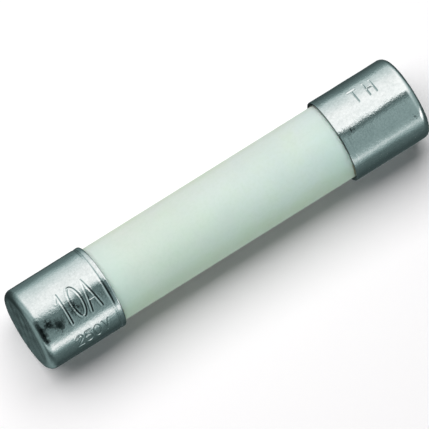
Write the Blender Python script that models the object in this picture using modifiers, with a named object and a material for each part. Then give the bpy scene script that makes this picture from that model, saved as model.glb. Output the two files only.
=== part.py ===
"""Cartridge fuse, 6.3 x 32 mm size: a ceramic tube between two plated end caps.

The fuse lies along +X with its middle at the origin. Every piece is built along the local Z axis of the
empty "fuse_axis", which turns that axis onto +X. A piece that each end has is drawn for the right-hand
end. The left-hand one is the same, given half a turn about the local X axis, and the wound wire is the
same under that half turn too.
"""

import math

import bmesh
import bpy
from mathutils import Matrix, Vector

MM = 0.001

# Turned pieces all have the same number of flats at the same angles, so the gap between two of them is
# even all the way round. A flat, not a corner, faces down.
FLATS = 48
FLAT_ANGLE = 2 * math.pi / FLATS
MERGE_DISTANCE = 0.0005 * MM

# The turn about local X that carries a right-hand piece to its place.
SIDES = {"right": 0, "left": math.pi}

# The gap between two pieces that touch on the real fuse. It is small beside the cap's thin wall.
TOUCH_GAP = 0.02 * MM

# End caps: cups drawn from nickel-plated brass sheet, with a slightly waisted lip at the mouth.
OVERALL_LENGTH = 31.75 * MM
CAP_DIAMETER = 6.35 * MM
CAP_LENGTH = 6.3 * MM
CAP_WALL = 0.22 * MM
CAP_CORNER_RADIUS = 0.6 * MM
LIP_LENGTH = 0.45 * MM
LIP_ROUND = 0.18 * MM
WAIST_DEPTH = 0.02 * MM
WAIST_HALF_LENGTH = 0.13 * MM

# Ceramic tube, and the cement that fixes each cap on it.
CEMENT_SPACE = 0.075 * MM
CEMENT_DEPTH = 1.6 * MM
CEMENT_BEAD = 0.1 * MM
TUBE_BORE_DIAMETER = 4.0 * MM
TUBE_EDGE_ROUND = 0.15 * MM

# Solder pool in the bottom of each cap, and the fibre washer that shuts the end of the tube.
SOLDER_DEPTH = 0.6 * MM
WASHER_THICKNESS = 0.4 * MM
WASHER_EDGE_SPACE = 0.04 * MM
WASHER_HOLE_SPACE = 0.05 * MM

# Fuse element: a wire wound on a stiffened glass-fibre core, with a bead of tin at its middle.
CORE_DIAMETER = 0.9 * MM
WIRE_DIAMETER = 0.28 * MM
WINDING_SPACE = 0.03 * MM
WINDING_PITCH = 1.3 * MM
POINTS_PER_TURN = 14
LEAD_LENGTH = 2.6 * MM
LEAD_EASE = 1.4 * MM
LEAD_STEP = 0.5 * MM
TAIL_BEND_STEPS = 5
TAIL_RUN = 1.1 * MM
WIRE_SIDES_SETTING = 2
BEAD_LENGTH = 1.7 * MM
BEAD_THICKNESS = 0.4 * MM

# Quartz sand packed between the tube and the element.
SAND_SPACE = 0.03 * MM

# Radii and places along the axis that follow from the sizes above.
CAP_RADIUS = CAP_DIAMETER / 2
CAP_BORE_RADIUS = CAP_RADIUS - CAP_WALL
CAP_INNER_CORNER_RADIUS = CAP_CORNER_RADIUS - CAP_WALL
TUBE_RADIUS = CAP_BORE_RADIUS - CEMENT_SPACE
TUBE_BORE_RADIUS = TUBE_BORE_DIAMETER / 2
END_FACE = OVERALL_LENGTH / 2
RIM = END_FACE - CAP_LENGTH
SOLDER_OUTER = END_FACE - CAP_WALL - TOUCH_GAP
SOLDER_INNER = SOLDER_OUTER - SOLDER_DEPTH
WASHER_OUTER = SOLDER_INNER - TOUCH_GAP
WASHER_INNER = WASHER_OUTER - WASHER_THICKNESS
TUBE_END = WASHER_INNER - TOUCH_GAP
WIRE_RADIUS = WIRE_DIAMETER / 2
WINDING_RADIUS = CORE_DIAMETER / 2 + WINDING_SPACE + WIRE_RADIUS
ELEMENT_RADIUS = WINDING_RADIUS + WIRE_RADIUS
WOUND_END = TUBE_END - LEAD_LENGTH
TAIL_BEND_RADIUS = SOLDER_DEPTH / 2
TAIL_PLANE = SOLDER_INNER + TAIL_BEND_RADIUS
TURN_RATE = 2 * math.pi / WINDING_PITCH
LEAD_ANGLE = TURN_RATE * (WOUND_END + LEAD_EASE / 2)


def clear_scene():
    for obj in list(bpy.data.objects):
        bpy.data.objects.remove(obj)


def new_collection(name):
    collection = bpy.data.collections.new(name)
    bpy.context.scene.collection.children.link(collection)
    return collection


def material(name, colour, roughness, metallic):
    made = bpy.data.materials.new(name)
    made.use_nodes = True
    shader = made.node_tree.nodes["Principled BSDF"]
    shader.inputs["Base Color"].default_value = (*colour, 1.0)
    shader.inputs["Roughness"].default_value = roughness
    shader.inputs["Metallic"].default_value = metallic
    made.diffuse_color = (*colour, 1.0)
    return made


def arc(centre, radius, start, end, steps):
    """Points (r, z) on an arc about centre, from one angle to the other, in degrees."""
    angles = [math.radians(start + (end - start) * i / steps) for i in range(steps + 1)]
    return [(centre[0] + radius * math.cos(a), centre[1] + radius * math.sin(a)) for a in angles]


def add(obj, finish):
    """Puts a piece on the fuse's axis, with its material."""
    obj.parent = bpy.data.objects["fuse_axis"]
    obj.data.materials.append(finish)
    bpy.data.collections["cartridge_fuse"].objects.link(obj)
    return obj


def turned(name, profile, finish, ring=False):
    """A profile of (r, z) points spun round Z. It runs from the axis to the axis, top to bottom down its
    outer side, or is a closed loop if the piece is a ring."""
    half = FLAT_ANGLE / 2
    points = [(r * math.cos(half), r * math.sin(half), z) for r, z in profile]
    edges = [(i, i + 1) for i in range(len(points) - 1)]
    if ring:
        edges.append((len(points) - 1, 0))
    mesh = bpy.data.meshes.new(name)
    mesh.from_pydata(points, edges, [])
    obj = bpy.data.objects.new(name, mesh)
    screw = obj.modifiers.new("turning", "SCREW")
    screw.axis = "Z"
    screw.angle = 2 * math.pi
    screw.steps = screw.render_steps = FLATS
    screw.use_merge_vertices = True
    screw.merge_threshold = MERGE_DISTANCE
    return add(obj, finish)


def wire_curve(name, points, radius):
    """A round wire of that radius along the points, with closed ends."""
    data = bpy.data.curves.new(name, "CURVE")
    data.dimensions = "3D"
    data.bevel_depth = radius
    data.bevel_resolution = WIRE_SIDES_SETTING
    data.use_fill_caps = True
    spline = data.splines.new("POLY")
    spline.points.add(len(points) - 1)
    for point, where in zip(spline.points, points):
        point.co = (*where, 1.0)
    return bpy.data.objects.new(name, data)


def mesh_of_curve(curve):
    """The mesh of a curve object, with its caps joined to its sides. The curve itself goes."""
    scene_objects = bpy.context.scene.collection.objects
    scene_objects.link(curve)
    bpy.context.view_layer.update()
    graph = bpy.context.evaluated_depsgraph_get()
    mesh = bpy.data.meshes.new_from_object(curve.evaluated_get(graph))
    bpy.data.objects.remove(curve)
    joined = bmesh.new()
    joined.from_mesh(mesh)
    bmesh.ops.remove_doubles(joined, verts=joined.verts, dist=MERGE_DISTANCE)
    bmesh.ops.recalc_face_normals(joined, faces=joined.faces)
    joined.to_mesh(mesh)
    joined.free()
    return mesh


def cut(obj, name, cutter_mesh):
    """Cuts obj with a hidden helper that rides with it."""
    cutter = bpy.data.objects.new(name, cutter_mesh)
    cutter.parent = obj
    cutter.hide_render = True
    cutter.display_type = "WIRE"
    bpy.data.collections["cutters"].objects.link(cutter)
    boolean = obj.modifiers.new(name, "BOOLEAN")
    boolean.operation = "DIFFERENCE"
    boolean.solver = "EXACT"
    boolean.object = cutter


def cap_profile():
    """A cup with a round corner, one wall thick, and a slight waist behind the rounded lip at its mouth."""
    corner = (CAP_RADIUS - CAP_CORNER_RADIUS, END_FACE - CAP_CORNER_RADIUS)
    waist = RIM + LIP_LENGTH
    lip = (CAP_RADIUS - LIP_ROUND, RIM + LIP_ROUND)
    return [
        (0, END_FACE),
        *arc(corner, CAP_CORNER_RADIUS, 90, 0, 6),
        (CAP_RADIUS, waist + WAIST_HALF_LENGTH),
        (CAP_RADIUS - WAIST_DEPTH, waist),
        (CAP_RADIUS, waist - WAIST_HALF_LENGTH),
        *arc(lip, LIP_ROUND, 0, -90, 3),
        (CAP_BORE_RADIUS, RIM),
        *arc(corner, CAP_INNER_CORNER_RADIUS, 0, 90, 4),
        (0, END_FACE - CAP_WALL),
    ]


def tube_profile():
    """A plain pipe whose four edges are rounded."""
    outer = TUBE_RADIUS - TUBE_EDGE_ROUND
    inner = TUBE_BORE_RADIUS + TUBE_EDGE_ROUND
    shoulder = TUBE_END - TUBE_EDGE_ROUND
    return [
        *arc((outer, shoulder), TUBE_EDGE_ROUND, 90, 0, 3),
        *arc((outer, -shoulder), TUBE_EDGE_ROUND, 0, -90, 3),
        *arc((inner, -shoulder), TUBE_EDGE_ROUND, -90, -180, 3),
        *arc((inner, shoulder), TUBE_EDGE_ROUND, 180, 90, 3),
    ]


def cement_profile():
    """A thin film up the skirt of the cap, ending in a bead that fills the step at the cap's mouth."""
    inner = TUBE_RADIUS + TOUCH_GAP
    outer = CAP_BORE_RADIUS - TOUCH_GAP
    under_rim = RIM - TOUCH_GAP
    return [
        (outer, RIM + CEMENT_DEPTH),
        (outer, under_rim),
        (outer + CEMENT_BEAD, under_rim),
        (outer + CEMENT_BEAD / 2, under_rim - CEMENT_BEAD / 2),
        (inner, under_rim - CEMENT_BEAD),
        (inner, RIM + CEMENT_DEPTH),
    ]


def washer_profile():
    edge = CAP_BORE_RADIUS - WASHER_EDGE_SPACE
    return [(0, WASHER_OUTER), (edge, WASHER_OUTER), (edge, WASHER_INNER), (0, WASHER_INNER)]


def solder_profile():
    edge = CAP_BORE_RADIUS - TOUCH_GAP
    corner = (edge - CAP_INNER_CORNER_RADIUS, SOLDER_OUTER - CAP_INNER_CORNER_RADIUS)
    return [
        (0, SOLDER_OUTER),
        *arc(corner, CAP_INNER_CORNER_RADIUS, 90, 0, 4),
        (edge, SOLDER_INNER),
        (0, SOLDER_INNER),
    ]


def core_profile():
    radius = CORE_DIAMETER / 2
    return [(0, TUBE_END), (radius, TUBE_END), (radius, -TUBE_END), (0, -TUBE_END)]


def bead_profile():
    """A ring of tin over the middle turns, with a rounded back."""
    inner = ELEMENT_RADIUS + TOUCH_GAP
    half = BEAD_LENGTH / 2
    stretch = half / BEAD_THICKNESS
    return [(inner + r, z * stretch) for r, z in arc((0, 0), BEAD_THICKNESS, 90, -90, 8)]


def sand_profile():
    """Sand fills the bore up to the element, and leaves a wider place round the tin bead."""
    outer = TUBE_BORE_RADIUS - TOUCH_GAP
    channel = ELEMENT_RADIUS + SAND_SPACE
    pocket = ELEMENT_RADIUS + TOUCH_GAP + BEAD_THICKNESS + SAND_SPACE
    pocket_half = BEAD_LENGTH / 2 + SAND_SPACE
    return [
        (outer, TUBE_END),
        (outer, -TUBE_END),
        (channel, -TUBE_END),
        (channel, -pocket_half),
        (pocket, -pocket_half),
        (pocket, pocket_half),
        (channel, pocket_half),
        (channel, TUBE_END),
    ]


def winding_angle(z):
    """The angle that the wire has turned at height z. It turns at an even rate over the wound length,
    eases to no turning over LEAD_EASE, and runs straight from there to the washer."""
    past = min(max(abs(z) - WOUND_END, 0), LEAD_EASE)
    even = min(abs(z), WOUND_END)
    return math.copysign(TURN_RATE * (even + past - past * past / (2 * LEAD_EASE)), z)


def on_winding(z):
    angle = winding_angle(z)
    return (WINDING_RADIUS * math.cos(angle), WINDING_RADIUS * math.sin(angle), z)


def half_winding():
    """Points from the middle of the fuse to where the lead goes straight. They are an even angle apart
    while the wire turns, and LEAD_STEP apart where it hardly turns any more."""
    angle_step = 2 * math.pi / POINTS_PER_TURN
    points = []
    z = WINDING_PITCH / POINTS_PER_TURN / 2
    while z < WOUND_END + LEAD_EASE:
        points.append(on_winding(z))
        rate = TURN_RATE * min(1, 1 - (z - WOUND_END) / LEAD_EASE)
        z += angle_step / rate if rate * LEAD_STEP > angle_step else LEAD_STEP
    return points


def tail_points(start):
    """The end of the wire from height start: straight through the washer, then bent flat in the solder."""
    across = math.cos(LEAD_ANGLE), math.sin(LEAD_ANGLE)
    foot = TAIL_PLANE - TAIL_BEND_RADIUS
    bend = [
        (WINDING_RADIUS + TAIL_BEND_RADIUS + r, z)
        for r, z in arc((0, foot), TAIL_BEND_RADIUS, 180, 90, TAIL_BEND_STEPS)
    ]
    run = (WINDING_RADIUS + TAIL_BEND_RADIUS + TAIL_RUN, TAIL_PLANE)
    path = [(WINDING_RADIUS, start), *bend, run]
    return [(r * across[0], r * across[1], z) for r, z in path]


def wire_points():
    """The whole wire. Its left-hand half is the right-hand one turned half a turn about X."""
    right = half_winding() + tail_points(WOUND_END + LEAD_EASE + LEAD_STEP / 2)
    left = [(x, -y, -z) for x, y, z in reversed(right)]
    return left + right


def washer_hole():
    """A peg where the wire's lead passes through the washer, standing clear of both faces."""
    radius = WIRE_RADIUS + WASHER_HOLE_SPACE
    across = (WINDING_RADIUS * math.cos(LEAD_ANGLE), WINDING_RADIUS * math.sin(LEAD_ANGLE))
    middle = (WASHER_INNER + WASHER_OUTER) / 2
    shape = bmesh.new()
    bmesh.ops.create_cone(
        shape,
        cap_ends=True,
        segments=16,
        radius1=radius,
        radius2=radius,
        depth=3 * WASHER_THICKNESS,
        matrix=Matrix.Translation((*across, middle)),
    )
    mesh = bpy.data.meshes.new("washer_hole")
    shape.to_mesh(mesh)
    shape.free()
    return mesh


def solder_channel():
    """The room that the wire's bent tail takes in the solder, open on the washer's side."""
    path = tail_points(SOLDER_INNER - WASHER_THICKNESS)
    tip, before = Vector(path[-1]), Vector(path[-2])
    longer = tip + (tip - before).normalized() * TOUCH_GAP
    return mesh_of_curve(wire_curve("channel", path[:-1] + [longer], WIRE_RADIUS + TOUCH_GAP))


def end_caps():
    nickel = material("nickel_plate", (0.62, 0.66, 0.65), 0.2, 1.0)
    for side, turn in SIDES.items():
        cap = turned(side + "_end_cap", cap_profile(), nickel)
        cap.rotation_euler.x = turn


def cement_rings():
    cement = material("cement", (0.45, 0.42, 0.27), 0.7, 0.0)
    for side, turn in SIDES.items():
        ring = turned(side + "_cement_ring", cement_profile(), cement, ring=True)
        ring.rotation_euler.x = turn


def fibre_washers():
    fibre = material("washer_fibre", (0.55, 0.5, 0.42), 0.85, 0.0)
    for side, turn in SIDES.items():
        washer = turned(side + "_fibre_washer", washer_profile(), fibre)
        washer.rotation_euler.x = turn
        cut(washer, side + "_washer_hole", washer_hole())


def solder_joints():
    solder = material("solder", (0.6, 0.61, 0.62), 0.35, 1.0)
    for side, turn in SIDES.items():
        joint = turned(side + "_solder_joint", solder_profile(), solder)
        joint.rotation_euler.x = turn
        cut(joint, side + "_solder_channel", solder_channel())


def ceramic_tube():
    ceramic = material("ceramic", (0.72, 0.78, 0.71), 0.5, 0.0)
    turned("ceramic_tube", tube_profile(), ceramic, ring=True)


def element():
    glass_fibre = material("glass_fibre", (0.85, 0.84, 0.8), 0.6, 0.0)
    copper = material("tinned_copper", (0.78, 0.72, 0.66), 0.3, 1.0)
    tin = material("tin", (0.66, 0.67, 0.68), 0.4, 1.0)
    turned("element_core", core_profile(), glass_fibre)
    turned("tin_bead", bead_profile(), tin, ring=True)
    add(wire_curve("fuse_wire", wire_points(), WIRE_RADIUS), copper)


def quartz_filler():
    quartz = material("quartz_sand", (0.82, 0.78, 0.7), 0.8, 0.0)
    turned("quartz_filler", sand_profile(), quartz, ring=True)


def main():
    clear_scene()
    parts = new_collection("cartridge_fuse")
    new_collection("cutters")
    axis = bpy.data.objects.new("fuse_axis", None)
    axis.rotation_euler.y = math.pi / 2
    parts.objects.link(axis)

    end_caps()
    cement_rings()
    fibre_washers()
    solder_joints()
    ceramic_tube()
    element()
    quartz_filler()


main()
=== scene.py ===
"""The looks of a 6.3 x 32 mm cartridge fuse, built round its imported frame.

The fuse lies along +X with its middle at the origin. Angles round it are measured from straight up,
towards +Y. Lengths are in metres.
"""

import math

import bpy
import numpy as np
from mathutils import Matrix, Vector


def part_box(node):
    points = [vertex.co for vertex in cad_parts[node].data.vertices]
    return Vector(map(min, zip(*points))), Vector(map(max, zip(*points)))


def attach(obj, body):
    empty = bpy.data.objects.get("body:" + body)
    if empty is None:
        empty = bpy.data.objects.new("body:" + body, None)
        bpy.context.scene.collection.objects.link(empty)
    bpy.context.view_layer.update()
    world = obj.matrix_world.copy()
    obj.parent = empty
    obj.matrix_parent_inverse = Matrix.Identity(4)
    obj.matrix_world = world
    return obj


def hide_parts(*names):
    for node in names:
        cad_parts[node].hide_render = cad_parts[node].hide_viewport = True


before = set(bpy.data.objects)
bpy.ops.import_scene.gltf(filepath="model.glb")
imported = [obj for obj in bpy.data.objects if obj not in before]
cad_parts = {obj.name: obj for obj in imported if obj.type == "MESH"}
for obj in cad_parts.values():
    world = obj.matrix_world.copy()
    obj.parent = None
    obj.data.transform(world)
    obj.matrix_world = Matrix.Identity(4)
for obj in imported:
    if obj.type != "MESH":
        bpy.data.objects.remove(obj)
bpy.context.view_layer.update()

MM = 0.001
LEFT, RIGHT = -1, 1
SIDE_NAMES = {LEFT: "left", RIGHT: "right"}


# Camera. It looks steeply down on the fuse from a little in front of it, and stands somewhat towards the
# left-hand end, with a very long lens, so the fuse's outline hardly narrows with distance.
CAMERA_DISTANCE = 0.9
CAMERA_RISE = math.radians(78.5)
CAMERA_LEAN = math.radians(10.25)
FUSE_SLOPE = math.radians(31.97)
VIEW_WIDTH = 29.82 * MM
AIM_ALONG = -0.19 * MM
AIM_ACROSS = 0.054 * MM

camera_angle = CAMERA_RISE - math.pi / 2
towards_camera = Vector(
    (
        -math.sin(CAMERA_LEAN),
        -math.cos(CAMERA_LEAN) * math.cos(CAMERA_RISE),
        math.cos(CAMERA_LEAN) * math.sin(CAMERA_RISE),
    )
)
fuse_on_film = (Vector((1, 0, 0)) - towards_camera * towards_camera.x).normalized()
across_on_film = towards_camera.cross(fuse_on_film)
film_right = math.cos(FUSE_SLOPE) * fuse_on_film - math.sin(FUSE_SLOPE) * across_on_film
film_up = math.sin(FUSE_SLOPE) * fuse_on_film + math.cos(FUSE_SLOPE) * across_on_film

camera_data = bpy.data.cameras.new("camera")
camera_data.lens = camera_data.sensor_width * CAMERA_DISTANCE / VIEW_WIDTH
camera = bpy.data.objects.new("camera", camera_data)
bpy.context.scene.collection.objects.link(camera)
turn = Matrix((film_right, film_up, towards_camera)).transposed().to_4x4()
aim = AIM_ALONG * fuse_on_film + AIM_ACROSS * across_on_film
camera.matrix_world = Matrix.Translation(aim + CAMERA_DISTANCE * towards_camera) @ turn
bpy.context.scene.camera = camera


# Floor. A plain white sheet, faintly lit from below, that the caps lie on. Metal above it doesn't mirror
# it, so that the caps keep the dark edges that a pair of black cards gives them.
CAP_RADIUS = 3.175 * MM
FLOOR_HALF = 0.14
FLOOR_COLOUR = (0.95, 0.937, 0.946, 1)
FLOOR_ROUGHNESS = 0.9
FLOOR_GLOW = 0.05


def new_material(name, metallic=0.0):
    """A material and its Principled shader."""
    made = bpy.data.materials.new(name)
    made.use_nodes = True
    shader = made.node_tree.nodes["Principled BSDF"]
    shader.inputs["Metallic"].default_value = metallic
    return made, shader


def add_object(name, mesh, material):
    """An object that shows a mesh in one material."""
    made = bpy.data.objects.new(name, mesh)
    made.data.materials.append(material)
    bpy.context.scene.collection.objects.link(made)
    return made


floor_white, floor_shader = new_material("floor_white")
floor_shader.inputs["Base Color"].default_value = FLOOR_COLOUR
floor_shader.inputs["Roughness"].default_value = FLOOR_ROUGHNESS
floor_shader.inputs["Specular IOR Level"].default_value = 0.0
floor_shader.inputs["Emission Color"].default_value = (1, 1, 1, 1)
floor_shader.inputs["Emission Strength"].default_value = FLOOR_GLOW
floor_mesh = bpy.data.meshes.new("floor")
floor_corners = FLOOR_HALF * np.array([[-1, -1, 0], [1, -1, 0], [1, 1, 0], [-1, 1, 0]], float)
floor_corners[:, 2] = -CAP_RADIUS
floor_mesh.from_pydata(floor_corners.tolist(), [], [[0, 1, 2, 3]])
floor = add_object("floor", floor_mesh, floor_white)
floor.visible_glossy = False


# Studio light. A large soft key light stands behind the fuse and above it, and a weak fill stands in front,
# shaded off from all but the tube. What the metal mirrors is a light tent: a ball of white cloth and grey
# cards that only mirrored rays see.
KEY_DISTANCE = 0.3
KEY_ANGLE = math.radians(27)
KEY_LEAN = math.radians(-8)
KEY_LENGTH, KEY_WIDTH = 0.55, 0.26
KEY_POWER = 1.62
FILL_DISTANCE = 0.3
FILL_ANGLE = math.radians(-50)
FILL_SIZE = 0.16
FILL_POWER = 0.44
FILL_COLOUR = (0.76, 1.0, 0.92)


def soft_light(name, distance, angle, lean, length, width, power, colour=(1, 1, 1)):
    """An area light that faces the fuse, at an angle round it from straight up, leaning towards +X."""
    data = bpy.data.lights.new(name, "AREA")
    data.shape = "RECTANGLE"
    data.size, data.size_y = length, width
    data.energy = power
    data.color = colour
    out = Vector((math.sin(lean), math.cos(lean) * math.sin(angle), math.cos(lean) * math.cos(angle)))
    along = (Vector((1, 0, 0)) - out * out.x).normalized()
    light = bpy.data.objects.new(name, data)
    facing_fuse = Matrix((along, out.cross(along), out)).transposed().to_4x4()
    light.matrix_world = Matrix.Translation(distance * out) @ facing_fuse
    light.visible_camera = False
    light.visible_glossy = False
    bpy.context.scene.collection.objects.link(light)
    return light


soft_light("key_light", KEY_DISTANCE, KEY_ANGLE, KEY_LEAN, KEY_LENGTH, KEY_WIDTH, KEY_POWER)
fill = soft_light("fill_light", FILL_DISTANCE, FILL_ANGLE, 0, FILL_SIZE, FILL_SIZE, FILL_POWER, FILL_COLOUR)
fill.light_linking.receiver_collection = bpy.data.collections.new("lit_by_fill")

TENT_RADIUS = 0.15
TENT_ROWS, TENT_COLUMNS = 361, 360
# How bright the tent is. It is cut into slices that lean towards +X by so many degrees, and each has a number
# for every angle round the fuse from the camera. White cloth hangs behind, grey in front with one bright
# strip, and black below.
TENT_ANGLES = [
    -180, -165, -150, -139, -121, -107, -96, -85, -75, -66, -57, -49, -33, -18, -10, -3, 5, 8, 12, 20,
    35, 51, 69, 88, 99, 111, 126, 145, 165, 180,
]
left_pole = [0.4] * len(TENT_ANGLES)
left_low = [
    0.42, 0.42, 0.4, 0.38, 0.3, 0.22, 0.2, 0.2, 0.3, 0.3, 0.2, 0.12, 0.1, 0.1, 0.1, 0.1, 0.15, 0.2,
    0.25, 0.3, 0.3, 0.3, 0.28, 0.25, 0.2, 0.15, 0.1, 0.08, 0.1, 0.3,
]
left_side = [
    0.2, 0.3, 0.35, 0.3, 0.14, 0.1, 0.12, 0.3, 0.7, 0.6, 0.1, 0.03, 0.02, 0.02, 0.03, 0.04, 0.06, 0.1,
    0.2, 0.45, 0.5, 0.52, 0.5, 0.4, 0.3, 0.2, 0.08, 0.05, 0.06, 0.14,
]
left_face = [
    0.1, 0.22, 0.28, 0.12, 0.12, 0.13, 0.2, 0.42, 1.1, 0.9, 0.2, 0.04, 0.02, 0.02, 0.03, 0.05, 0.08,
    0.12, 0.3, 0.8, 1.0, 1.05, 1.0, 0.8, 0.55, 0.34, 0.12, 0.06, 0.03, 0.05,
]
left_barrel = [
    0.03, 0.07, 0.08, 0.065, 0.117, 0.162, 0.225, 0.478, 1.31, 1.22, 0.495, 0.33, 0.295, 0.142, 0.166,
    0.26, 0.217, 0.254, 0.349, 1.16, 1.33, 1.26, 1.18, 0.962, 0.868, 0.524, 0.242, 0.191, 0.08, 0.03,
]
right_barrel = [
    0.1, 0.09, 0.08, 0.0755, 0.111, 0.155, 0.192, 0.471, 0.868, 0.476, 0.44, 0.419, 0.436, 0.455, 0.459,
    0.217, 0.124, 0.256, 1.56, 1.33, 1.31, 1.31, 1.14, 0.901, 0.849, 0.312, 0.193, 0.104, 0.1, 0.1,
]
right_side = [
    0.1, 0.1, 0.1, 0.1, 0.12, 0.14, 0.2, 1.2, 2.4, 1.5, 0.6, 0.55, 0.6, 0.65, 0.75, 0.85, 0.95, 1.1,
    1.3, 1.35, 1.35, 1.35, 1.3, 1.2, 1.0, 0.7, 0.3, 0.12, 0.1, 0.1,
]
right_low = [
    0.12, 0.12, 0.12, 0.12, 0.12, 0.12, 0.2, 0.4, 0.6, 0.5, 0.4, 0.4, 0.45, 0.5, 0.55, 0.65, 0.7, 0.75,
    0.8, 0.9, 0.95, 0.95, 0.9, 0.7, 0.5, 0.3, 0.15, 0.12, 0.12, 0.12,
]
right_pole = [0.35] * len(TENT_ANGLES)
TENT_SLICES = [
    (-90, left_pole),
    (-78, left_pole),
    (-62, left_low),
    (-45, left_side),
    (-25, left_side),
    (-8, left_face),
    (2, left_barrel),
    (6.5, left_barrel),
    (14, right_barrel),
    (24, right_barrel),
    (38, right_side),
    (52, right_side),
    (66, right_low),
    (90, right_pole),
]
# The dimmer the cloth, the less red it is.
TENT_LEVELS, TENT_REDS = [0.07, 0.4, 0.8, 1.25], [0.68, 0.74, 0.87, 0.995]
TENT_BLUE = 0.995


def round_mesh(name, along, radius, angle, ring=False):
    """A closed surface round the fuse's axis. Row i, column j stands at along[i, j] on the axis, radius[i, j]
    off it, at angle[j] from straight up. Columns close on themselves, and so do the rows of a ring. Otherwise
    the first and last rows lie on the axis, and each shrinks to one point."""
    points = np.stack([along, radius * np.sin(angle), radius * np.cos(angle)], axis=-1)
    return closed_mesh(name, points, ring)


def closed_mesh(name, points, ring):
    """A closed mesh over a grid of points, whose columns close on themselves. The rows of a ring do as well.
    Otherwise the first and last rows each shrink to one point."""
    rows, columns = points.shape[:2]
    index = np.arange(rows * columns).reshape(rows, columns)
    across = np.roll(index, -1, axis=1)
    below, below_across = np.roll(index, -1, axis=0), np.roll(across, -1, axis=0)
    quads = np.stack([index, below, below_across, across], axis=-1)
    if ring:
        faces = quads.reshape(-1, 4).tolist()
        points = points.reshape(-1, 3)
    else:
        body = quads[1:-2].reshape(-1, 4) - columns + 1
        last = (rows - 2) * columns + 1
        last_row = last - columns
        first_fan = np.stack([index[0] * 0, index[0] + 1, across[0] + 1], axis=-1)
        last_fan = np.stack([index[0] * 0 + last, across[0] + last_row, index[0] + last_row], axis=-1)
        faces = body.tolist() + first_fan.tolist() + last_fan.tolist()
        points = np.concatenate([points[0, :1], points[1:-1].reshape(-1, 3), points[-1, :1]])
    mesh = bpy.data.meshes.new(name)
    mesh.from_pydata(points.tolist(), [], faces)
    mesh.shade_smooth()
    return mesh


lean = np.linspace(-90, 90, TENT_ROWS)
around = np.linspace(-180, 180, TENT_COLUMNS, endpoint=False)
from_camera = (around - math.degrees(camera_angle) + 180) % 360 - 180
slice_leans, slice_rows = zip(*TENT_SLICES)
slices = np.stack([np.interp(from_camera, TENT_ANGLES, row) for row in slice_rows])
level = np.stack([np.interp(lean, slice_leans, column) for column in slices.T], axis=-1)
tent_lean = np.radians(lean)[:, None] + 0 * level
tent_mesh = round_mesh(
    "light_tent", TENT_RADIUS * np.sin(tent_lean), TENT_RADIUS * np.cos(tent_lean), np.radians(around)
)
red_share = np.interp(level, TENT_LEVELS, TENT_REDS)
glow = np.stack([level * red_share, level, level * TENT_BLUE, np.ones_like(level)], axis=-1)
glow = np.concatenate([glow[0, :1], glow[1:-1].reshape(-1, 4), glow[-1, :1]])
glow_layer = tent_mesh.color_attributes.new("glow", "FLOAT_COLOR", "POINT")
glow_layer.data.foreach_set("color", glow.astype(np.float32).ravel())

tent_cloth = bpy.data.materials.new("tent_cloth")
tent_cloth.use_nodes = True
tent_cloth.cycles.emission_sampling = "NONE"
tent_tree = tent_cloth.node_tree
tent_tree.nodes.clear()
tent_glow = tent_tree.nodes.new("ShaderNodeAttribute")
tent_glow.attribute_name = "glow"
tent_emission = tent_tree.nodes.new("ShaderNodeEmission")
tent_output = tent_tree.nodes.new("ShaderNodeOutputMaterial")
tent_tree.links.new(tent_glow.outputs["Color"], tent_emission.inputs["Color"])
tent_tree.links.new(tent_emission.outputs["Emission"], tent_output.inputs["Surface"])
tent = add_object("light_tent", tent_mesh, tent_cloth)
tent.visible_camera = False
tent.visible_diffuse = False
tent.visible_transmission = False
tent.visible_volume_scatter = False
tent.visible_shadow = False

ROOM_LIGHT = 0.03
world = bpy.data.worlds.new("room")
world.use_nodes = True
room_tree = world.node_tree
background = room_tree.nodes["Background"]
background.inputs["Color"].default_value = (1, 1, 1, 1)
ray_kind = room_tree.nodes.new("ShaderNodeLightPath")
room_strength = room_tree.nodes.new("ShaderNodeMapRange")
room_strength.inputs["To Min"].default_value = ROOM_LIGHT
room_strength.inputs["To Max"].default_value = 1.0
room_tree.links.new(ray_kind.outputs["Is Camera Ray"], room_strength.inputs["Value"])
room_tree.links.new(room_strength.outputs["Result"], background.inputs["Strength"])
bpy.context.scene.world = world
bpy.context.scene.view_settings.view_transform = "Standard"


# Ceramic tube. Extruded steatite, fired and left unglazed, pale and faintly green, with rounded ends. Light
# goes a little way into it and comes out again softened.
TUBE_RADIUS = 2.88 * MM
TUBE_BORE = 2.0 * MM
TUBE_EDGE = 0.15 * MM
TUBE_COLUMNS = 192
TUBE_ROWS = 120
CERAMIC_PALE, CERAMIC_PALE_COOL = (0.605, 0.65, 0.605), (0.59, 0.65, 0.64)
CERAMIC_DEEP, CERAMIC_DEEP_COOL = (0.555, 0.605, 0.545), (0.535, 0.605, 0.59)
COOLER_FROM, COOLER_TO = -9 * MM, 10 * MM
PATCH_GREEN = (0.535, 0.615, 0.515)
SPECK_GREEN = (0.46, 0.53, 0.47)
# Painted shade: the tube is drawn darker and cooler next to each cap's mouth, as the caps' shade on it.
CAP_SHADE = (0.5, 0.625, 0.6)
CAP_SHADE_FROM, CAP_SHADE_TO = 7.2 * MM, 9.8 * MM
# Painted shade: both flanks of the tube, where its outline falls, are drawn darker and yellow-greener.
FLANK_SHADE_PALE, FLANK_SHADE_DEEP = (0.5, 0.57, 0.43), (0.42, 0.5, 0.3)
FLANK_SHADE_FROM, FLANK_SHADE_TO = 2.2 * MM, 2.8 * MM
CERAMIC_ROUGHNESS = (0.42, 0.56)
CERAMIC_GRAIN = 0.0015 * MM
LIGHT_SHARE = 0.8
LIGHT_DEPTH = 1.5 * MM
LIGHT_REACH = (0.8, 1.0, 0.9)

tube_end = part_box("ceramic_tube")[1][0]


def arc(centre, radius, start, end, steps):
    """Points (x, r) on an arc between two angles in degrees, 0 towards +X and 90 off the axis."""
    turn = np.radians(np.linspace(start, end, steps))
    return np.stack([centre[0] + radius * np.cos(turn), centre[1] + radius * np.sin(turn)], axis=-1)


def line(start, end, steps):
    """Points on a straight line from start to end, without its two ends."""
    return np.linspace(start, end, steps + 2)[1:-1]


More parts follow.
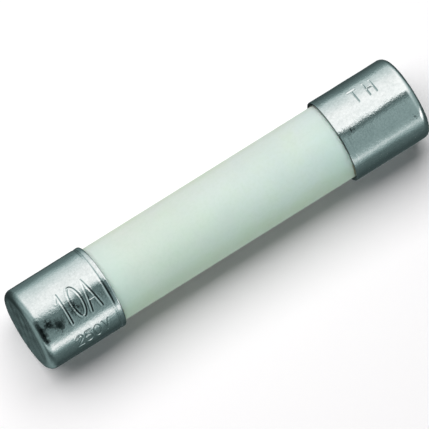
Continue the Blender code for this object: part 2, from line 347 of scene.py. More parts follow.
def turned(name, outline, columns, relief=None, ring=False):
    """A turned piece with rows (x, r) as its outline. relief is added to r, and may change round the axis. An
    outline that isn't a ring runs from the right-hand end of the axis to its left-hand end."""
    angle = np.linspace(0, 2 * math.pi, columns, endpoint=False)
    along, radius = outline[:, :1] + 0 * angle, outline[:, 1:] + 0 * angle
    if relief is not None:
        radius = radius + relief(along, radius, angle + 0 * along)
    return round_mesh(name, along[::-1], radius[::-1], angle, ring)


def tube_outline():
    """The pipe's outline as a loop, over the outside towards -X and back through the bore."""
    outer, inner, end = TUBE_RADIUS - TUBE_EDGE, TUBE_BORE + TUBE_EDGE, tube_end - TUBE_EDGE
    return np.concatenate(
        [
            arc((end, outer), TUBE_EDGE, 0, 90, 6),
            line((end, TUBE_RADIUS), (-end, TUBE_RADIUS), TUBE_ROWS),
            arc((-end, outer), TUBE_EDGE, 90, 180, 6),
            arc((-end, inner), TUBE_EDGE, 180, 270, 6),
            line((-end, TUBE_BORE), (end, TUBE_BORE), TUBE_ROWS),
            arc((end, inner), TUBE_EDGE, -90, 0, 6),
        ]
    )


def ripples(along, angle, seed, most_waves, shortest, count=24):
    """A smooth random relief about 1 high: the sum of plane waves, each with a whole number of waves round
    the axis, so that it closes on itself."""
    choose = np.random.default_rng(seed)
    waves = choose.integers(-most_waves, most_waves + 1, count)
    rates = choose.uniform(-1, 1, count) * 2 * math.pi / shortest
    phases = choose.uniform(0, 2 * math.pi, count)
    total = sum(np.cos(n * angle + k * along + p) for n, k, p in zip(waves, rates, phases))
    return total * math.sqrt(2 / count)


def fill_in(node, values):
    """Sets a node's inputs by name. Spaces in an input's name are written as _."""
    for name, value in values.items():
        node.inputs[name.replace("_", " ")].default_value = value
    return node


def put(tree, kind, **inputs):
    """A new node, with values for its inputs."""
    return fill_in(tree.nodes.new(kind), inputs)


def feed(tree, value, socket):
    """Gives a socket the output of a node, or a plain number or colour."""
    if isinstance(value, bpy.types.NodeSocket):
        tree.links.new(value, socket)
    else:
        socket.default_value = (*value, 1) if socket.type == "RGBA" else value


def colour_mix(tree, factor, low, high):
    """A colour between two others. A Mix node has sockets for each kind of data, so they go by number."""
    made = tree.nodes.new("ShaderNodeMix")
    made.data_type = "RGBA"
    for place, value in ((0, factor), (6, low), (7, high)):
        feed(tree, value, made.inputs[place])
    return made.outputs[2]


def reckon(tree, operation, *values):
    """The result of one operation on its values."""
    made = tree.nodes.new("ShaderNodeMath")
    made.operation = operation
    for socket, value in zip(made.inputs, values):
        feed(tree, value, socket)
    return made.outputs["Value"]


def ranged(tree, value, low, high, to_low=0.0, to_high=1.0):
    """A value carried from one range to another, and held inside it."""
    made = put(tree, "ShaderNodeMapRange", From_Min=low, From_Max=high, To_Min=to_low, To_Max=to_high)
    tree.links.new(value, made.inputs["Value"])
    return made.outputs["Result"]


def where(tree):
    """Where a point is on the fuse."""
    return tree.nodes.new("ShaderNodeTexCoord").outputs["Object"]


def off_middle(tree, axis):
    """How far a point is from the middle of the fuse along one axis, to either side."""
    apart = tree.nodes.new("ShaderNodeSeparateXYZ")
    tree.links.new(where(tree), apart.inputs["Vector"])
    return reckon(tree, "ABSOLUTE", apart.outputs[axis])


def new_group(name, numbers, results):
    """An empty shader group with number inputs, given with their defaults, and number outputs."""
    group = bpy.data.node_groups.new(name, "ShaderNodeTree")
    for label, value in numbers.items():
        socket = group.interface.new_socket(label, in_out="INPUT", socket_type="NodeSocketFloat")
        socket.default_value = value
    for label in results:
        group.interface.new_socket(label, in_out="OUTPUT", socket_type="NodeSocketFloat")
    return group, group.nodes.new("NodeGroupInput"), group.nodes.new("NodeGroupOutput")


def grain_group():
    """Fine grain and broad clouds on the surface. Grain Size and Cloud Size are features per metre."""
    sizes = {"Grain Size": 9000, "Cloud Size": 300}
    group, given, result = new_group("grain", sizes, ["Grain", "Clouds"])
    for size, label, detail in (("Grain Size", "Grain", 4), ("Cloud Size", "Clouds", 5)):
        noise = put(group, "ShaderNodeTexNoise", Detail=detail, Roughness=0.6)
        group.links.new(where(group), noise.inputs["Vector"])
        group.links.new(given.outputs[size], noise.inputs["Scale"])
        group.links.new(ranged(group, noise.outputs["Fac"], 0.3, 0.7), result.inputs[label])
    return group


def use_group(tree, group, **inputs):
    """A shader group placed in a material, with its own values."""
    made = tree.nodes.new("ShaderNodeGroup")
    made.node_tree = group
    return fill_in(made, inputs)


def dress(tree, shader, colour, roughness, height, depth):
    """Gives a shader its colour and roughness, and raises the surface by depth where height is 1."""
    tree.links.new(colour, shader.inputs["Base Color"])
    tree.links.new(roughness, shader.inputs["Roughness"])
    bump = put(tree, "ShaderNodeBump", Distance=depth)
    tree.links.new(height, bump.inputs["Height"])
    tree.links.new(bump.outputs["Normal"], shader.inputs["Normal"])


grain = grain_group()


def fired_ceramic():
    """Satin ceramic: near white with a faint green, cooler towards the right. By the caps it is painted
    darker and cooler as their shade. It has greener patches, fine specks and a dry grain, and its flanks are
    painted darker yellow-green as shade at its edges."""
    material, shader = new_material("fired_ceramic")
    tree = material.node_tree
    texture = use_group(tree, grain, Grain_Size=7000, Cloud_Size=260)
    patches = use_group(tree, grain, Grain_Size=4200, Cloud_Size=520)
    apart = tree.nodes.new("ShaderNodeSeparateXYZ")
    tree.links.new(where(tree), apart.inputs["Vector"])
    cooler = ranged(tree, apart.outputs["X"], COOLER_FROM, COOLER_TO)
    pale = colour_mix(tree, cooler, CERAMIC_PALE, CERAMIC_PALE_COOL)
    deep = colour_mix(tree, cooler, CERAMIC_DEEP, CERAMIC_DEEP_COOL)
    even = colour_mix(tree, texture.outputs["Clouds"], deep, pale)
    greener = ranged(tree, patches.outputs["Clouds"], 0.2, 1.0, 0.0, 0.6)
    mottled = colour_mix(tree, greener, even, PATCH_GREEN)
    speck = ranged(tree, patches.outputs["Grain"], 0.35, 1.0, 0.0, 0.22)
    specked = colour_mix(tree, speck, mottled, SPECK_GREEN)
    # Painted shade next to the caps.
    cap_shade = ranged(tree, off_middle(tree, "X"), CAP_SHADE_FROM, CAP_SHADE_TO, 0.0, 0.5)
    cap_shaded = colour_mix(tree, cap_shade, specked, CAP_SHADE)
    # Painted shade along both flanks.
    flank_shade = ranged(tree, off_middle(tree, "Y"), FLANK_SHADE_FROM, FLANK_SHADE_TO, 0.0, 0.42)
    flank_shaded = colour_mix(tree, flank_shade, cap_shaded, colour_mix(tree, greener, FLANK_SHADE_PALE, FLANK_SHADE_DEEP))
    rough = ranged(tree, texture.outputs["Grain"], 0, 1, *CERAMIC_ROUGHNESS)
    dress(tree, shader, flank_shaded, rough, texture.outputs["Grain"], CERAMIC_GRAIN)
    shader.inputs["Subsurface Weight"].default_value = LIGHT_SHARE
    shader.inputs["Subsurface Radius"].default_value = LIGHT_REACH
    shader.inputs["Subsurface Scale"].default_value = LIGHT_DEPTH
    return material


tube_mesh = turned("tube", tube_outline(), TUBE_COLUMNS, ring=True)
tube_mesh.set_sharp_from_angle(angle=math.radians(60))
tube = add_object("tube", tube_mesh, fired_ceramic())
fill.light_linking.receiver_collection.objects.link(tube)
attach(tube, "root")
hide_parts("ceramic_tube")


# Core of the element. A yarn of glass strands, twisted together and stiffened with resin, that keeps the
# winding in shape from one washer to the other.
CORE_RADIUS = 0.45 * MM
CORE_STRANDS = 7
CORE_TWIST = 3.6 * MM
CORE_GROOVE = 0.07 * MM
CORE_EDGE = 0.03 * MM
RESIN_AMBER, GLASS_WHITE = (0.66, 0.6, 0.47), (0.84, 0.83, 0.77)
CORE_ROUGHNESS = (0.35, 0.6)
CORE_GRAIN = 0.003 * MM


def core_relief(along, radius, angle):
    """Strands twisted round the axis: the surface dips between them as the side of a rounded bar does."""
    lay = (angle + 2 * math.pi * along / CORE_TWIST) * CORE_STRANDS / 2
    dip = CORE_GROOVE * (1 - np.sqrt(np.abs(np.cos(lay)))) * (radius > CORE_RADIUS / 2)
    return -dip


core_outline = np.concatenate(
    [
        [(tube_end, 0), (tube_end, 0.3 * CORE_RADIUS), (tube_end, 0.93 * CORE_RADIUS)],
        line((tube_end - CORE_EDGE, CORE_RADIUS), (-tube_end + CORE_EDGE, CORE_RADIUS), 240),
        [(-tube_end, 0.93 * CORE_RADIUS), (-tube_end, 0.3 * CORE_RADIUS), (-tube_end, 0)],
    ]
)


def resin_glass():
    """Glass yarn in clear resin: off-white strands with amber resin in the grooves, slightly shiny."""
    material, shader = new_material("resin_glass")
    tree = material.node_tree
    texture = use_group(tree, grain, Grain_Size=14000, Cloud_Size=900)
    colour = colour_mix(tree, texture.outputs["Clouds"], RESIN_AMBER, GLASS_WHITE)
    rough = ranged(tree, texture.outputs["Grain"], 0, 1, *CORE_ROUGHNESS)
    dress(tree, shader, colour, rough, texture.outputs["Grain"], CORE_GRAIN)
    return material


core = add_object("core", turned("core", core_outline, 84, core_relief), resin_glass())
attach(core, "root")
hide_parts("element_core")


# Fuse wire. Tinned copper, wound evenly on the core, with a straight lead at each end that goes through the
# washer and is bent flat in the solder.
WIRE_RADIUS = 0.14 * MM
WINDING_RADIUS = 0.62 * MM
WINDING_PITCH = 1.3 * MM
WOUND_END = 11.995 * MM
LEAD_EASE = 1.4 * MM
SOLDER_INNER = 15.035 * MM
TAIL_BEND = 0.3 * MM
TAIL_RUN = 1.1 * MM
WIRE_COLUMNS = 20
COPPER_DULL, COPPER_BRIGHT = (0.68, 0.6, 0.52), (0.8, 0.75, 0.7)
COPPER_ROUGHNESS = (0.35, 0.2)
COPPER_GRAIN = 0.002 * MM

# The left-hand half of the fuse is the right-hand half after half a turn about Z.
HALF_TURN = np.array([-1.0, -1.0, 1.0])

turn_rate = 2 * math.pi / WINDING_PITCH
lead_angle = turn_rate * (WOUND_END + LEAD_EASE / 2)


def wire_path():
    """The middle of the wire from one tail to the other, with a vector square to it at each point. It turns
    round the axis at an even rate, eases into a straight lead, bends outwards through a quarter circle and
    runs straight to its tip. The vector points away from the axis, and turns back in the bend."""
    wound = np.linspace(0, WOUND_END + LEAD_EASE, 560)[1:]
    lead = np.linspace(WOUND_END + LEAD_EASE, SOLDER_INNER, 14)[1:]
    bend = np.radians(np.linspace(0, 90, 13)[1:])
    run = np.linspace(0, TAIL_RUN, 8)[1:]
    tail_at = SOLDER_INNER + TAIL_BEND
    along = np.concatenate([wound, lead, SOLDER_INNER + TAIL_BEND * np.sin(bend), run * 0 + tail_at])
    outwards = np.concatenate([wound * 0, lead * 0, TAIL_BEND * (1 - np.cos(bend)), TAIL_BEND + run])
    off = WINDING_RADIUS + outwards
    bent = np.concatenate([wound * 0, lead * 0, bend, run * 0 + math.pi / 2])
    past = np.clip(along - WOUND_END, 0, LEAD_EASE)
    angle = turn_rate * (np.minimum(along, WOUND_END) + past - past**2 / (2 * LEAD_EASE))
    away = np.stack([0 * angle, np.sin(angle), -np.cos(angle)], axis=-1)
    axis = np.array([1.0, 0.0, 0.0])
    centre = along[:, None] * axis + off[:, None] * away
    square = np.cos(bent)[:, None] * away - np.sin(bent)[:, None] * axis
    first = np.array([[0, 0, -WINDING_RADIUS]])
    centre = np.concatenate([centre[::-1] * HALF_TURN, first, centre])
    square = np.concatenate([square[::-1] * HALF_TURN, [[0, 0, -1.0]], square])
    return centre, square


def swept(name, centre, square, radius, columns):
    """A round bar along a path, with a rounded tip at each end. Each ring of points is a circle in the plane
    of the square vector and of the tangent's cross product with it. A tip is half an ellipse in side view."""
    tangent = np.gradient(centre, axis=0)
    tangent /= np.linalg.norm(tangent, axis=1, keepdims=True)
    tip = np.radians([0, 30, 60, 80])
    steps = len(centre)
    pick = np.concatenate([np.zeros(4, int), np.arange(steps), np.full(4, steps - 1)])
    size = radius * np.concatenate([np.sin(tip), np.ones(steps), np.sin(tip[::-1])])
    push = 0.5 * radius * np.concatenate([-np.cos(tip), np.zeros(steps), np.cos(tip[::-1])])
    middle, side, forward = centre[pick] + push[:, None] * tangent[pick], square[pick], tangent[pick]
    other = np.cross(forward, side)
    turn = np.linspace(0, 2 * math.pi, columns, endpoint=False)
    ring = np.cos(turn)[None, :, None] * side[:, None] + np.sin(turn)[None, :, None] * other[:, None]
    points = middle[:, None] + size[:, None, None] * ring
    return closed_mesh(name, points[::-1], ring=False)


def soft_metal(name, dull, bright, roughness, grain_depth):
    """A soft metal with a cloudy, lightly dimpled skin, which is smoother where it is bright."""
    material, shader = new_material(name, metallic=1.0)
    tree = material.node_tree
    texture = use_group(tree, grain, Grain_Size=12000, Cloud_Size=1500)
    colour = colour_mix(tree, texture.outputs["Clouds"], dull, bright)
    rough = ranged(tree, texture.outputs["Clouds"], 0, 1, *roughness)
    dress(tree, shader, colour, rough, texture.outputs["Grain"], grain_depth)
    return material


wire_centre, wire_square = wire_path()
wire_mesh = swept("wire", wire_centre, wire_square, WIRE_RADIUS, WIRE_COLUMNS)
tinned_copper = soft_metal("tinned_copper", COPPER_DULL, COPPER_BRIGHT, COPPER_ROUGHNESS, COPPER_GRAIN)
wire = add_object("wire", wire_mesh, tinned_copper)
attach(wire, "root")
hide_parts("fuse_wire")


# Tin bead. A drop of tin run over the middle turns, which melts first and gives the fuse its time lag. The
# turns under it show as low waves in its skin.
BEAD_INNER = 0.78 * MM
BEAD_HALF = 0.85 * MM
BEAD_THICKNESS = 0.38 * MM
BEAD_WAVE = 0.018 * MM
TIN_DULL, TIN_BRIGHT = (0.52, 0.53, 0.54), (0.72, 0.73, 0.74)
TIN_ROUGHNESS = (0.45, 0.3)
TIN_GRAIN = 0.003 * MM


def bead_relief(along, radius, angle):
    """A low wave that follows the winding, and a random unevenness, both sunk below the outline. They fade
    towards the inside."""
    height = np.clip((radius - BEAD_INNER) / BEAD_THICKNESS, 0, 1)
    wave = np.cos(angle + math.pi + turn_rate * along)
    uneven = 0.6 * ripples(along, angle, seed=5, most_waves=6, shortest=1 * MM)
    return BEAD_WAVE * height * (wave + uneven - 2)


bead_turn = np.linspace(0, math.pi, 40)
bead_outline = np.stack(
    [BEAD_HALF * np.cos(bead_turn), BEAD_INNER + BEAD_THICKNESS * np.sin(bead_turn) ** 0.9], axis=-1
)
bead_outline = np.concatenate([bead_outline, line((-BEAD_HALF, BEAD_INNER), (BEAD_HALF, BEAD_INNER), 20)])
bead_mesh = turned("bead", bead_outline, 120, bead_relief, ring=True)
cast_tin = soft_metal("cast_tin", TIN_DULL, TIN_BRIGHT, TIN_ROUGHNESS, TIN_GRAIN)
bead = add_object("bead", bead_mesh, cast_tin)
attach(bead, "root")
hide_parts("tin_bead")


# Quartz filler. Washed sand, shaken down until it is tight between the tube and the element. It quenches the
# arc when the wire melts.
SAND_RADIUS = 1.975 * MM
SAND_CHANNEL = 0.79 * MM
SAND_POCKET = 1.21 * MM
SAND_POCKET_HALF = 0.88 * MM
SAND_GRAIN = 0.33 * MM
SAND_DEPTH = 0.09 * MM
SAND_AMBER, SAND_CLEAR, SAND_MILKY = (0.62, 0.55, 0.43), (0.86, 0.83, 0.76), (0.92, 0.92, 0.9)
SAND_ROUGHNESS = (0.25, 0.75)
SAND_GRIT = 0.004 * MM


def grains(along, angle, rows, columns, seed):
    """Domes of grains packed side by side, 1 at a grain's top and 0 between grains. The surface is cut into
    rows by columns of cells with one grain set at random in each, and a point's height falls with the square
    of its distance from the nearest grain."""
    choose = np.random.default_rng(seed)
    shift = choose.uniform(0.15, 0.85, (rows, columns, 2))
    u = (along - along.min()) / np.ptp(along) * (rows - 1)
    v = (angle / (2 * math.pi)) % 1 * columns
    row, column = np.floor(u).astype(int), np.floor(v).astype(int)
    nearest = np.full(u.shape, np.inf)
    for down in (-1, 0, 1):
        for over in (-1, 0, 1):
            at_row, at_column = row + down, column + over
            middle = shift[at_row % rows, at_column % columns]
            distance = (at_row + middle[..., 0] - u) ** 2 + (at_column + middle[..., 1] - v) ** 2
            nearest = np.minimum(nearest, distance)
    return np.clip(1 - nearest / 0.55, 0, 1) ** 0.5


def sand_relief(along, radius, angle):
    """Grains on the outside of the plug, and none in its channel."""
    outside = radius > 0.9 * SAND_RADIUS
    rows = round(2 * tube_end / SAND_GRAIN)
    columns = round(2 * math.pi * SAND_RADIUS / SAND_GRAIN)
    return np.where(outside, SAND_DEPTH * (grains(along, angle, rows, columns, seed=3) - 1), 0)


sand_outline = np.concatenate(
    [
        line((tube_end, SAND_RADIUS), (-tube_end, SAND_RADIUS), 380),
        line((-tube_end, SAND_RADIUS), (-tube_end, SAND_CHANNEL), 14),
        [(-tube_end, SAND_CHANNEL), (-SAND_POCKET_HALF, SAND_CHANNEL), (-SAND_POCKET_HALF, SAND_POCKET)],
        [(SAND_POCKET_HALF, SAND_POCKET), (SAND_POCKET_HALF, SAND_CHANNEL), (tube_end, SAND_CHANNEL)],
        line((tube_end, SAND_CHANNEL), (tube_end, SAND_RADIUS), 14),
    ]
)


def quartz_sand():
    """Sand: each grain its own shade between clear grey and amber, some of them milky."""
    material, shader = new_material("quartz_sand")
    tree = material.node_tree
    stones = put(tree, "ShaderNodeTexVoronoi", Scale=3200)
    tree.links.new(where(tree), stones.inputs["Vector"])
    apart = tree.nodes.new("ShaderNodeSeparateColor")
    tree.links.new(stones.outputs["Color"], apart.inputs["Color"])
    texture = use_group(tree, grain, Grain_Size=9000)
    shade = colour_mix(tree, apart.outputs["Red"], SAND_AMBER, SAND_CLEAR)
    milky = ranged(tree, apart.outputs["Green"], 0.8, 0.9)
    colour = colour_mix(tree, milky, shade, SAND_MILKY)
    rough = ranged(tree, apart.outputs["Blue"], 0, 1, *SAND_ROUGHNESS)
    dress(tree, shader, colour, rough, texture.outputs["Grain"], SAND_GRIT)
    return material


sand_mesh = turned("sand", sand_outline, 150, sand_relief, ring=True)
sand_mesh.set_sharp_from_angle(angle=math.radians(55))
sand = add_object("sand", sand_mesh, quartz_sand())
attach(sand, "root")
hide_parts("quartz_filler")


# Fibre washers. Discs punched from vulcanised fibre, with a hole for the lead. They shut the ends of the
# tube, so that the sand stays in while the caps are soldered.
WASHER_RADIUS = 2.915 * MM
WASHER_OUTER, WASHER_INNER = 15.015 * MM, 14.615 * MM
WASHER_BURR = 0.04 * MM
HOLE_RADIUS = 0.19 * MM
WASHER_COLUMNS = 144
FIBRE_DARK, FIBRE_LIGHT, FIBRE_HAIR = (0.44, 0.39, 0.31), (0.57, 0.52, 0.43), (0.68, 0.64, 0.55)
FIBRE_ROUGHNESS = (0.72, 0.9)
FIBRE_GRAIN = 0.012 * MM


def washer_mesh(side):
    """A disc with a hole off its middle. A ring of points at share s lies between the hole's circle (s = 0)
    and the outer circle (s = 1). The rows run over the outer face, down the rounded edge, back over the inner
    face and through the hole."""
    share = np.linspace(0, 1, 24)
    low, high = WASHER_INNER, WASHER_OUTER
    third = (high - low) / 3
    edge = np.radians(np.linspace(90, 0, 5))
    soft = WASHER_BURR / WASHER_RADIUS
    sunk, edge_share = WASHER_BURR * (1 - np.sin(edge)), 1 - soft + soft * np.cos(edge)
    faces = np.concatenate(
        [
            np.stack([0 * share + high, share * (1 - soft)], axis=-1),
            np.stack([high - sunk, edge_share], axis=-1)[1:],
            np.stack([low + sunk, edge_share], axis=-1)[::-1],
            np.stack([0 * share + low, share * (1 - soft)], axis=-1)[::-1][1:],
            [(low + third, 0), (high - third, 0)],
        ]
    )
    angle = np.linspace(0, 2 * math.pi, WASHER_COLUMNS, endpoint=False)
    circle = np.stack([np.sin(angle), np.cos(angle)], axis=-1)
    hole_at = WINDING_RADIUS * np.array([math.sin(lead_angle), -math.cos(lead_angle)])
    share = faces[:, 1][:, None, None]
    flat = (1 - share) * (hole_at + HOLE_RADIUS * circle) + share * WASHER_RADIUS * circle
    points = np.concatenate([faces[:, 0][:, None, None] + 0 * flat[..., :1], flat], axis=-1)
    if side == LEFT:
        points = points * HALF_TURN
    mesh = closed_mesh(SIDE_NAMES[side] + "_washer", points[::-1], ring=True)
    mesh.set_sharp_from_angle(angle=math.radians(50))
    return mesh


def vulcanised_fibre():
    """Pressed paper fibre: dull grey-brown with short pale hairs and cloudy patches."""
    material, shader = new_material("vulcanised_fibre")
    tree = material.node_tree
    comb = put(tree, "ShaderNodeMapping", Scale=(1, 0.25, 1))
    tree.links.new(where(tree), comb.inputs["Vector"])
    hairs = put(tree, "ShaderNodeTexNoise", Scale=9000, Detail=3, Distortion=1.5)
    tree.links.new(comb.outputs["Vector"], hairs.inputs["Vector"])
    texture = use_group(tree, grain, Cloud_Size=900)
    body = colour_mix(tree, texture.outputs["Clouds"], FIBRE_DARK, FIBRE_LIGHT)
    pale = ranged(tree, hairs.outputs["Fac"], 0.52, 0.68)
    colour = colour_mix(tree, pale, body, FIBRE_HAIR)
    rough = ranged(tree, texture.outputs["Clouds"], 0, 1, *FIBRE_ROUGHNESS)
    dress(tree, shader, colour, rough, hairs.outputs["Fac"], FIBRE_GRAIN)
    return material


fibre = vulcanised_fibre()
for side in (LEFT, RIGHT):
    washer = add_object(SIDE_NAMES[side] + "_washer", washer_mesh(side), fibre)
    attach(washer, "root")
    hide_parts(SIDE_NAMES[side] + "_fibre_washer")


# Solder joints. A pool of soft solder in the bottom of each cap, which holds the wire's bent tail. Its free
# face is slightly hollow, climbs the cap's wall, and stands up in a collar where the lead goes in.
SOLDER_RADIUS = 2.935 * MM
SOLDER_CORNER = 0.38 * MM
SOLDER_OUTER = 15.635 * MM
SOLDER_HOLLOW = 0.07 * MM
SOLDER_COLLAR = 0.35 * MM
SOLDER_DULL, SOLDER_BRIGHT = (0.48, 0.49, 0.5), (0.66, 0.67, 0.68)
SOLDER_ROUGHNESS = (0.4, 0.25)
SOLDER_GRAIN = 0.006 * MM


def solder_mesh(side):
    """A turned slab with a round outer corner. Its free face sinks by the hollow, less towards the wall and
    round the lead, and has low ripples."""
    centre = (SOLDER_OUTER - SOLDER_CORNER, SOLDER_RADIUS - SOLDER_CORNER)
    disc = np.linspace(0, 1, 40)
    outline = np.concatenate(
        [
            np.stack([0 * disc + SOLDER_OUTER, disc * centre[1]], axis=-1)[:-1],
            arc(centre, SOLDER_CORNER, 0, 90, 8),
            line((centre[0], SOLDER_RADIUS), (SOLDER_INNER, SOLDER_RADIUS), 3),
            np.stack([0 * disc + SOLDER_INNER, disc[::-1] * SOLDER_RADIUS], axis=-1),
        ]
    )
    angle = np.linspace(0, 2 * math.pi, 120, endpoint=False)
    along, radius = outline[:, :1] + 0 * angle, outline[:, 1:] + 0 * angle
    y, z = radius * np.sin(angle), radius * np.cos(angle)
    lead_y, lead_z = WINDING_RADIUS * math.sin(lead_angle), -WINDING_RADIUS * math.cos(lead_angle)
    from_lead = np.hypot(y - lead_y, z - lead_z)
    sink = 1 - (radius / SOLDER_RADIUS) ** 6 - np.exp(-((from_lead / SOLDER_COLLAR) ** 2))
    wavy = 0.15 * ripples(y, 0 * y, seed=8, most_waves=0, shortest=1.4 * MM)
    wavy = wavy * ripples(z, 0 * z, seed=9, most_waves=0, shortest=1.6 * MM)
    free = np.isclose(along, SOLDER_INNER)
    along = along + np.where(free, SOLDER_HOLLOW * np.clip(sink + wavy * sink, 0, 1.5), 0)
    points = np.stack([along, y, z], axis=-1)
    if side == LEFT:
        points = points * HALF_TURN
    mesh = closed_mesh(SIDE_NAMES[side] + "_solder", points[::-1], ring=False)
    mesh.set_sharp_from_angle(angle=math.radians(50))
    return mesh


soft_solder = soft_metal("soft_solder", SOLDER_DULL, SOLDER_BRIGHT, SOLDER_ROUGHNESS, SOLDER_GRAIN)
for side in (LEFT, RIGHT):
    solder = add_object(SIDE_NAMES[side] + "_solder", solder_mesh(side), soft_solder)
    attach(solder, "root")
    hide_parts(SIDE_NAMES[side] + "_solder_joint")


# Cement. A thin film between the tube and each cap. It has mostly drawn back into the cap's mouth, which
# leaves a dark line there, and stands out as a small yellowish bead low on the front.
CAP_LENGTH = 6.3 * MM
END_FACE = 15.875 * MM
CEMENT_INNER, CEMENT_OUTER = 2.9 * MM, 2.935 * MM
CEMENT_DEPTH = 1.6 * MM
CEMENT_BACK = 0.1 * MM
CEMENT_BEAD = 0.09 * MM
CEMENT_BEAD_ANGLE, CEMENT_BEAD_SPREAD = math.radians(284), math.radians(21)
CEMENT_EDGE = 0.02 * MM
CEMENT_COLUMNS = 240
CEMENT_DIRTY, CEMENT_YELLOW = (0.2, 0.19, 0.13), (0.5, 0.47, 0.31)
CEMENT_ROUGHNESS = (0.7, 0.95)
CEMENT_GRAIN = 0.01 * MM

rim = END_FACE - CAP_LENGTH


def cement_mesh(side):
    """A thin ring whose mouth edge wanders: mouth(angle) = rim + a depth inside it, less a bump that is
    widest low on the front, plus ripples."""
    angle = np.linspace(0, 2 * math.pi, CEMENT_COLUMNS, endpoint=False)
    low_front = np.exp(-(((angle - CEMENT_BEAD_ANGLE) / CEMENT_BEAD_SPREAD) ** 2))
    wander = ripples(0 * angle, angle, seed=20 + side, most_waves=24, shortest=1, count=16)
    mouth = CEMENT_BACK * (0.75 + 0.35 * wander) - 1.5 * CEMENT_BEAD * low_front
    mouth = rim + np.clip(mouth, 0.03 * MM - CEMENT_BEAD, 2 * CEMENT_BACK)
    edge = mouth + CEMENT_EDGE
    back = rim + CEMENT_DEPTH + 0 * angle
    inner, outer = 0 * angle + CEMENT_INNER, 0 * angle + CEMENT_OUTER
    middle = (inner + outer) / 2
    shares = np.linspace(0, 1, 10)[1:-1, None]
    walls = (1 - shares) * edge + shares * back
    along = np.concatenate([[back], walls[::-1], [edge, mouth, edge], walls, [back]])
    radius = np.concatenate([[outer], 0 * walls + outer, [outer, middle, inner], 0 * walls + inner, [inner]])
    # The rows run the other way on the left, so that the faces point outwards there too.
    name = SIDE_NAMES[side] + "_cement"
    mesh = round_mesh(name, side * along[::-side], radius[::-side], angle, ring=True)
    mesh.set_sharp_from_angle(angle=math.radians(70))
    return mesh


def dull_cement():
    """Cured cement: dull grey-yellow, gritty, darker where dirt has settled in it."""
    material, shader = new_material("dull_cement")
    tree = material.node_tree
    texture = use_group(tree, grain, Grain_Size=12000, Cloud_Size=2200)
    colour = colour_mix(tree, texture.outputs["Clouds"], CEMENT_DIRTY, CEMENT_YELLOW)
    rough = ranged(tree, texture.outputs["Grain"], 0, 1, *CEMENT_ROUGHNESS)
    dress(tree, shader, colour, rough, texture.outputs["Grain"], CEMENT_GRAIN)
    return material


cement = dull_cement()
for side in (LEFT, RIGHT):
    cement_ring = add_object(SIDE_NAMES[side] + "_cement", cement_mesh(side), cement)
    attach(cement_ring, "root")
    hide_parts(SIDE_NAMES[side] + "_cement_ring")


# End caps. Each is a cup drawn from brass sheet and plated with nickel, with a round corner, a slight waist
# behind the lip at its mouth, and its rating struck into the barrel with thin punches.
CAP_WALL = 0.22 * MM
CORNER_RADIUS = 0.6 * MM
LIP_LENGTH = 0.45 * MM
LIP_ROUND = {LEFT: 0.14 * MM, RIGHT: 0.07 * MM}
WAIST_DEPTH = {LEFT: 0.03 * MM, RIGHT: 0.003 * MM}
WAIST_WIDTH = 0.075 * MM
END_DISH = 0.03 * MM
DENT_DEPTH = 0.0035 * MM
FACE_DENT_DEPTH = 0.006 * MM
FINE_LENGTH = 4.9 * MM
FINE_STEP = 0.036 * MM
COARSE_STEP = 0.12 * MM
PUNCH_WIDTH = 0.058 * MM
PUNCH_DEPTH = {LEFT: 0.036 * MM, RIGHT: 0.05 * MM}
BURR_HEIGHT = 0.012 * MM
NICKEL_CLOUDY, NICKEL_PALE = (0.67, 0.7, 0.695), (0.75, 0.772, 0.767)
NICKEL_DEEP, NICKEL_DIM = (0.55, 0.59, 0.585), (0.64, 0.665, 0.66)
TARNISH = (0.05, 0.062, 0.06)
WORN_NICKEL = (0.36, 0.4, 0.39)
WORN_FROM, WORN_TO = 0.25 * MM, 0.05 * MM
# Painted shade: the mouth's edge is drawn nearly black, a dark line where the cap meets the tube.
MOUTH_SHADE = (0.1, 0.1, 0.085)
MOUTH_SHADE_FROM, MOUTH_SHADE_TO = 0.01 * MM, 0.04 * MM
NICKEL_ROUGHNESS = (0.13, 0.07)
NICKEL_GRAIN = 0.0042 * MM


def bow(x, y, width, height, start, end, steps):
    """Points on part of an ellipse round (x, y), between two angles in degrees."""
    turn = np.radians(np.linspace(start, end, steps))
    return np.stack([x + width * np.cos(turn), y + height * np.sin(turn)], axis=-1)


# The strokes of each character, in a box 0.6 wide and 1 high.
BOX_WIDTH = 0.6
PUNCHES = {
    "0": [bow(0.3, 0.5, 0.29, 0.5, 0, 360, 25)],
    "1": [[(0.12, 0.78), (0.34, 1.0), (0.34, 0.0)]],
    "2": [np.concatenate([bow(0.3, 0.72, 0.28, 0.28, 165, -40, 12), [(0.02, 0.0), (0.6, 0.0)]])],
    "5": [
        np.concatenate(
            [[(0.56, 1.0), (0.1, 1.0), (0.06, 0.56)], bow(0.28, 0.32, 0.3, 0.32, 110, -140, 12)]
        )
    ],
    "A": [[(0.0, 0.0), (0.3, 1.0), (0.6, 0.0)], [(0.11, 0.36), (0.49, 0.36)]],
    "H": [[(0.0, 0.0), (0.0, 1.0)], [(0.6, 0.0), (0.6, 1.0)], [(0.0, 0.5), (0.6, 0.5)]],
    "T": [[(0.0, 1.0), (0.6, 1.0)], [(0.3, 1.0), (0.3, 0.0)]],
    "V": [[(0.0, 1.0), (0.3, 0.0), (0.6, 1.0)]],
}


def struck(words, start, base, height, width, advance):
    """The straight pieces of the strokes of a word, as rows (x0, y0, x1, y1): x along the fuse, y round it.
    start is where its first character begins, base its foot line, and advance the step between characters."""
    pieces = []
    for place, letter in enumerate(words):
        for stroke in PUNCHES.get(letter, []):
            at = np.array(stroke) * (width / BOX_WIDTH, height) + (start + place * advance, base)
            pieces.append(np.concatenate([at[:-1], at[1:]], axis=1))
    return np.concatenate(pieces)


